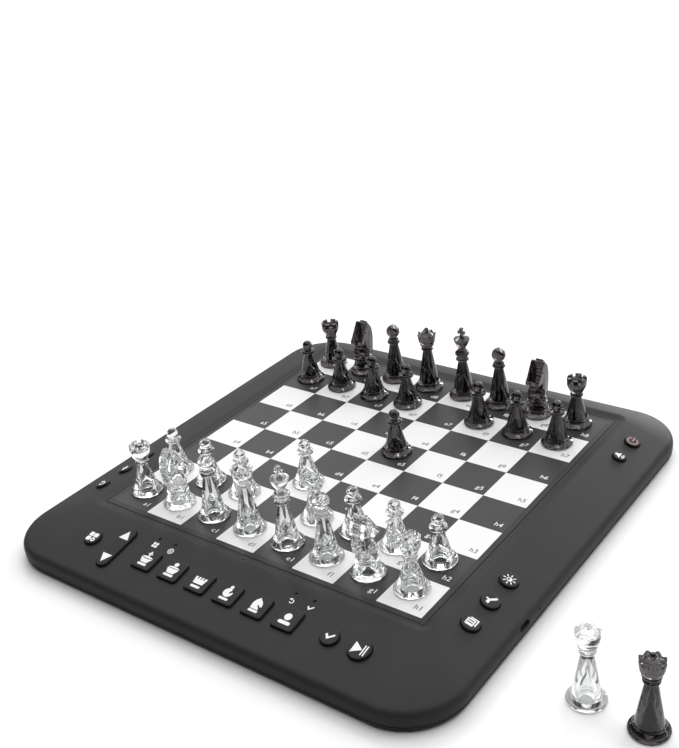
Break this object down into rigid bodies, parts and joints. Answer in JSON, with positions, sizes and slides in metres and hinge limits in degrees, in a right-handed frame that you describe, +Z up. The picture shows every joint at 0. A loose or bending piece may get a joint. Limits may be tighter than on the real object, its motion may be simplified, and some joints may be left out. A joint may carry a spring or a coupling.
{
  "type": "electronic chess computer",
  "caption": "Tablet-shaped electronic chess computer with a sunken playing field, push keys on its sloping rims and a full set of transparent chess pieces.",
  "frame": {"origin": "centre of the case underside, on the face of the centre support pad", "axes": "+X along the first rank from the a file to the h file, +Y from the first rank towards the eighth rank, +Z up"},
  "size_m": [0.393, 0.3194, 0.0703],
  "materials": {
    "case_plastic": "fine matte moulded plastic, charcoal",
    "key_plastic": "matte moulded plastic, near black, white icons",
    "board_sheet": "printed satin sheet, white and charcoal squares",
    "circuit_board": "green solder mask",
    "cell_wrap": "grey foil wrap",
    "speaker_frame": "black frame and cone",
    "port_steel": "plated pressed steel",
    "clear_plastic": "polished clear acrylic",
    "smoke_plastic": "polished smoke grey acrylic"
  },
  "bodies": {
    "case": {"bottom_case": "case_plastic", "top_case": "case_plastic", "playing_surface": "board_sheet", "sensor_board": "circuit_board", "main_board": "circuit_board", "battery_pack": "cell_wrap", "speaker": "speaker_frame", "usb_socket": "port_steel"},
    "rocker_button": {"rocker_button": "key_plastic"},
    "menu_button": {"menu_button": "key_plastic"},
    "key_king": {"key_king": "key_plastic"},
    "key_queen": {"key_queen": "key_plastic"},
    "key_rook": {"key_rook": "key_plastic"},
    "key_bishop": {"key_bishop": "key_plastic"},
    "key_knight": {"key_knight": "key_plastic"},
    "key_pawn": {"key_pawn": "key_plastic"},
    "confirm_button": {"confirm_button": "key_plastic"},
    "play_button": {"play_button": "key_plastic"},
    "power_button": {"power_button": "key_plastic"},
    "volume_button": {"volume_button": "key_plastic"},
    "brightness_button": {"brightness_button": "key_plastic"},
    "hint_button": {"hint_button": "key_plastic"},
    "library_button": {"library_button": "key_plastic"},
    "left_button_upper": {"left_button_upper": "key_plastic"},
    "left_button_middle": {"left_button_middle": "key_plastic"},
    "left_button_lower": {"left_button_lower": "key_plastic"},
    "white_rook_a": {"white_rook_a": "clear_plastic"},
    "white_knight_b": {"white_knight_b": "clear_plastic"},
    "white_bishop_c": {"white_bishop_c": "clear_plastic"},
    "white_queen_d": {"white_queen_d": "clear_plastic"},
    "white_king_e": {"white_king_e": "clear_plastic"},
    "white_bishop_f": {"white_bishop_f": "clear_plastic"},
    "white_knight_g": {"white_knight_g": "clear_plastic"},
    "white_rook_h": {"white_rook_h": "clear_plastic"},
    "white_pawn_a": {"white_pawn_a": "clear_plastic"},
    "white_pawn_b": {"white_pawn_b": "clear_plastic"},
    "white_pawn_c": {"white_pawn_c": "clear_plastic"},
    "white_pawn_d": {"white_pawn_d": "clear_plastic"},
    "white_pawn_e": {"white_pawn_e": "clear_plastic"},
    "white_pawn_f": {"white_pawn_f": "clear_plastic"},
    "white_pawn_g": {"white_pawn_g": "clear_plastic"},
    "white_pawn_h": {"white_pawn_h": "clear_plastic"},
    "black_rook_a": {"black_rook_a": "smoke_plastic"},
    "black_knight_b": {"black_knight_b": "smoke_plastic"},
    "black_bishop_c": {"black_bishop_c": "smoke_plastic"},
    "black_queen_d": {"black_queen_d": "smoke_plastic"},
    "black_king_e": {"black_king_e": "smoke_plastic"},
    "black_bishop_f": {"black_bishop_f": "smoke_plastic"},
    "black_knight_g": {"black_knight_g": "smoke_plastic"},
    "black_rook_h": {"black_rook_h": "smoke_plastic"},
    "black_pawn_a": {"black_pawn_a": "smoke_plastic"},
    "black_pawn_b": {"black_pawn_b": "smoke_plastic"},
    "black_pawn_c": {"black_pawn_c": "smoke_plastic"},
    "black_pawn_d": {"black_pawn_d": "smoke_plastic"},
    "black_pawn_e": {"black_pawn_e": "smoke_plastic"},
    "black_pawn_f": {"black_pawn_f": "smoke_plastic"},
    "black_pawn_g": {"black_pawn_g": "smoke_plastic"},
    "black_pawn_h": {"black_pawn_h": "smoke_plastic"},
    "white_queen_spare": {"white_queen_spare": "clear_plastic"},
    "black_queen_spare": {"black_queen_spare": "smoke_plastic"}
  },
  "joints": [
    {"name": "rocker_button_tilt", "type": "hinge", "parent": "case", "child": "rocker_button", "pos_m": [-0.07616, -0.13304, 0.01482], "axis": [1, 0, 0], "range_deg": [-3, 3], "stiffness_Nm_per_rad": 0.03},
    {"name": "menu_button_press", "type": "slide", "parent": "case", "child": "menu_button", "axis": [0, 0.1856, -0.9826], "range_m": [0, 0.001], "stiffness_N_per_m": 300, "springref_m": -0.0012},
    {"name": "key_king_press", "type": "slide", "parent": "case", "child": "key_king", "axis": [0, 0.1856, -0.9826], "range_m": [0, 0.001], "stiffness_N_per_m": 300, "springref_m": -0.0012},
    {"name": "key_queen_press", "type": "slide", "parent": "case", "child": "key_queen", "axis": [0, 0.1856, -0.9826], "range_m": [0, 0.001], "stiffness_N_per_m": 300, "springref_m": -0.0012},
    {"name": "key_rook_press", "type": "slide", "parent": "case", "child": "key_rook", "axis": [0, 0.1856, -0.9826], "range_m": [0, 0.001], "stiffness_N_per_m": 300, "springref_m": -0.0012},
    {"name": "key_bishop_press", "type": "slide", "parent": "case", "child": "key_bishop", "axis": [0, 0.1856, -0.9826], "range_m": [0, 0.001], "stiffness_N_per_m": 300, "springref_m": -0.0012},
    {"name": "key_knight_press", "type": "slide", "parent": "case", "child": "key_knight", "axis": [0, 0.1856, -0.9826], "range_m": [0, 0.001], "stiffness_N_per_m": 300, "springref_m": -0.0012},
    {"name": "key_pawn_press", "type": "slide", "parent": "case", "child": "key_pawn", "axis": [0, 0.1856, -0.9826], "range_m": [0, 0.001], "stiffness_N_per_m": 300, "springref_m": -0.0012},
    {"name": "confirm_button_press", "type": "slide", "parent": "case", "child": "confirm_button", "axis": [0, 0.1856, -0.9826], "range_m": [0, 0.001], "stiffness_N_per_m": 300, "springref_m": -0.0012},
    {"name": "play_button_press", "type": "slide", "parent": "case", "child": "play_button", "axis": [0, 0.1856, -0.9826], "range_m": [0, 0.001], "stiffness_N_per_m": 300, "springref_m": -0.0012},
    {"name": "power_button_press", "type": "slide", "parent": "case", "child": "power_button", "axis": [-0.289, 0, -0.9573], "range_m": [0, 0.001], "stiffness_N_per_m": 300, "springref_m": -0.0012},
    {"name": "volume_button_press", "type": "slide", "parent": "case", "child": "volume_button", "axis": [-0.289, 0, -0.9573], "range_m": [0, 0.001], "stiffness_N_per_m": 300, "springref_m": -0.0012},
    {"name": "brightness_button_press", "type": "slide", "parent": "case", "child": "brightness_button", "axis": [-0.289, 0, -0.9573], "range_m": [0, 0.001], "stiffness_N_per_m": 300, "springref_m": -0.0012},
    {"name": "hint_button_press", "type": "slide", "parent": "case", "child": "hint_button", "axis": [-0.289, 0, -0.9573], "range_m": [0, 0.001], "stiffness_N_per_m": 300, "springref_m": -0.0012},
    {"name": "library_button_press", "type": "slide", "parent": "case", "child": "library_button", "axis": [-0.289, 0, -0.9573], "range_m": [0, 0.001], "stiffness_N_per_m": 300, "springref_m": -0.0012},
    {"name": "left_button_upper_press", "type": "slide", "parent": "case", "child": "left_button_upper", "axis": [0.289, 0, -0.9573], "range_m": [0, 0.001], "stiffness_N_per_m": 300, "springref_m": -0.0012},
    {"name": "left_button_middle_press", "type": "slide", "parent": "case", "child": "left_button_middle", "axis": [0.289, 0, -0.9573], "range_m": [0, 0.001], "stiffness_N_per_m": 300, "springref_m": -0.0012},
    {"name": "left_button_lower_press", "type": "slide", "parent": "case", "child": "left_button_lower", "axis": [0.289, 0, -0.9573], "range_m": [0, 0.001], "stiffness_N_per_m": 300, "springref_m": -0.0012},
    {"name": "white_rook_a_lift", "type": "slide", "parent": "case", "child": "white_rook_a", "axis": [0, 0, 1], "range_m": [0, 0.08]},
    {"name": "white_knight_b_lift", "type": "slide", "parent": "case", "child": "white_knight_b", "axis": [0, 0, 1], "range_m": [0, 0.08]},
    {"name": "white_bishop_c_lift", "type": "slide", "parent": "case", "child": "white_bishop_c", "axis": [0, 0, 1], "range_m": [0, 0.08]},
    {"name": "white_queen_d_lift", "type": "slide", "parent": "case", "child": "white_queen_d", "axis": [0, 0, 1], "range_m": [0, 0.08]},
    {"name": "white_king_e_lift", "type": "slide", "parent": "case", "child": "white_king_e", "axis": [0, 0, 1], "range_m": [0, 0.08]},
    {"name": "white_bishop_f_lift", "type": "slide", "parent": "case", "child": "white_bishop_f", "axis": [0, 0, 1], "range_m": [0, 0.08]},
    {"name": "white_knight_g_lift", "type": "slide", "parent": "case", "child": "white_knight_g", "axis": [0, 0, 1], "range_m": [0, 0.08]},
    {"name": "white_rook_h_lift", "type": "slide", "parent": "case", "child": "white_rook_h", "axis": [0, 0, 1], "range_m": [0, 0.08]},
    {"name": "white_pawn_a_lift", "type": "slide", "parent": "case", "child": "white_pawn_a", "axis": [0, 0, 1], "range_m": [0, 0.08]},
    {"name": "white_pawn_b_lift", "type": "slide", "parent": "case", "child": "white_pawn_b", "axis": [0, 0, 1], "range_m": [0, 0.08]},
    {"name": "white_pawn_c_lift", "type": "slide", "parent": "case", "child": "white_pawn_c", "axis": [0, 0, 1], "range_m": [0, 0.08]},
    {"name": "white_pawn_d_lift", "type": "slide", "parent": "case", "child": "white_pawn_d", "axis": [0, 0, 1], "range_m": [0, 0.08]},
    {"name": "white_pawn_e_lift", "type": "slide", "parent": "case", "child": "white_pawn_e", "axis": [0, 0, 1], "range_m": [0, 0.08]},
    {"name": "white_pawn_f_lift", "type": "slide", "parent": "case", "child": "white_pawn_f", "axis": [0, 0, 1], "range_m": [0, 0.08]},
    {"name": "white_pawn_g_lift", "type": "slide", "parent": "case", "child": "white_pawn_g", "axis": [0, 0, 1], "range_m": [0, 0.08]},
    {"name": "white_pawn_h_lift", "type": "slide", "parent": "case", "child": "white_pawn_h", "axis": [0, 0, 1], "range_m": [0, 0.08]},
    {"name": "black_rook_a_lift", "type": "slide", "parent": "case", "child": "black_rook_a", "axis": [0, 0, 1], "range_m": [0, 0.08]},
    {"name": "black_knight_b_lift", "type": "slide", "parent": "case", "child": "black_knight_b", "axis": [0, 0, 1], "range_m": [0, 0.08]},
    {"name": "black_bishop_c_lift", "type": "slide", "parent": "case", "child": "black_bishop_c", "axis": [0, 0, 1], "range_m": [0, 0.08]},
    {"name": "black_queen_d_lift", "type": "slide", "parent": "case", "child": "black_queen_d", "axis": [0, 0, 1], "range_m": [0, 0.08]},
    {"name": "black_king_e_lift", "type": "slide", "parent": "case", "child": "black_king_e", "axis": [0, 0, 1], "range_m": [0, 0.08]},
    {"name": "black_bishop_f_lift", "type": "slide", "parent": "case", "child": "black_bishop_f", "axis": [0, 0, 1], "range_m": [0, 0.08]},
    {"name": "black_knight_g_lift", "type": "slide", "parent": "case", "child": "black_knight_g", "axis": [0, 0, 1], "range_m": [0, 0.08]},
    {"name": "black_rook_h_lift", "type": "slide", "parent": "case", "child": "black_rook_h", "axis": [0, 0, 1], "range_m": [0, 0.08]},
    {"name": "black_pawn_a_lift", "type": "slide", "parent": "case", "child": "black_pawn_a", "axis": [0, 0, 1], "range_m": [0, 0.08]},
    {"name": "black_pawn_b_lift", "type": "slide", "parent": "case", "child": "black_pawn_b", "axis": [0, 0, 1], "range_m": [0, 0.08]},
    {"name": "black_pawn_c_lift", "type": "slide", "parent": "case", "child": "black_pawn_c", "axis": [0, 0, 1], "range_m": [0, 0.08]},
    {"name": "black_pawn_d_lift", "type": "slide", "parent": "case", "child": "black_pawn_d", "axis": [0, 0, 1], "range_m": [0, 0.08]},
    {"name": "black_pawn_e_lift", "type": "slide", "parent": "case", "child": "black_pawn_e", "axis": [0, 0, 1], "range_m": [0, 0.08]},
    {"name": "black_pawn_f_lift", "type": "slide", "parent": "case", "child": "black_pawn_f", "axis": [0, 0, 1], "range_m": [0, 0.08]},
    {"name": "black_pawn_g_lift", "type": "slide", "parent": "case", "child": "black_pawn_g", "axis": [0, 0, 1], "range_m": [0, 0.08]},
    {"name": "black_pawn_h_lift", "type": "slide", "parent": "case", "child": "black_pawn_h", "axis": [0, 0, 1], "range_m": [0, 0.08]},
    {"name": "white_queen_spare_lift", "type": "slide", "parent": "case", "child": "white_queen_spare", "axis": [0, 0, 1], "range_m": [0, 0.08]},
    {"name": "black_queen_spare_lift", "type": "slide", "parent": "case", "child": "black_queen_spare", "axis": [0, 0, 1], "range_m": [0, 0.08]}
  ]
}
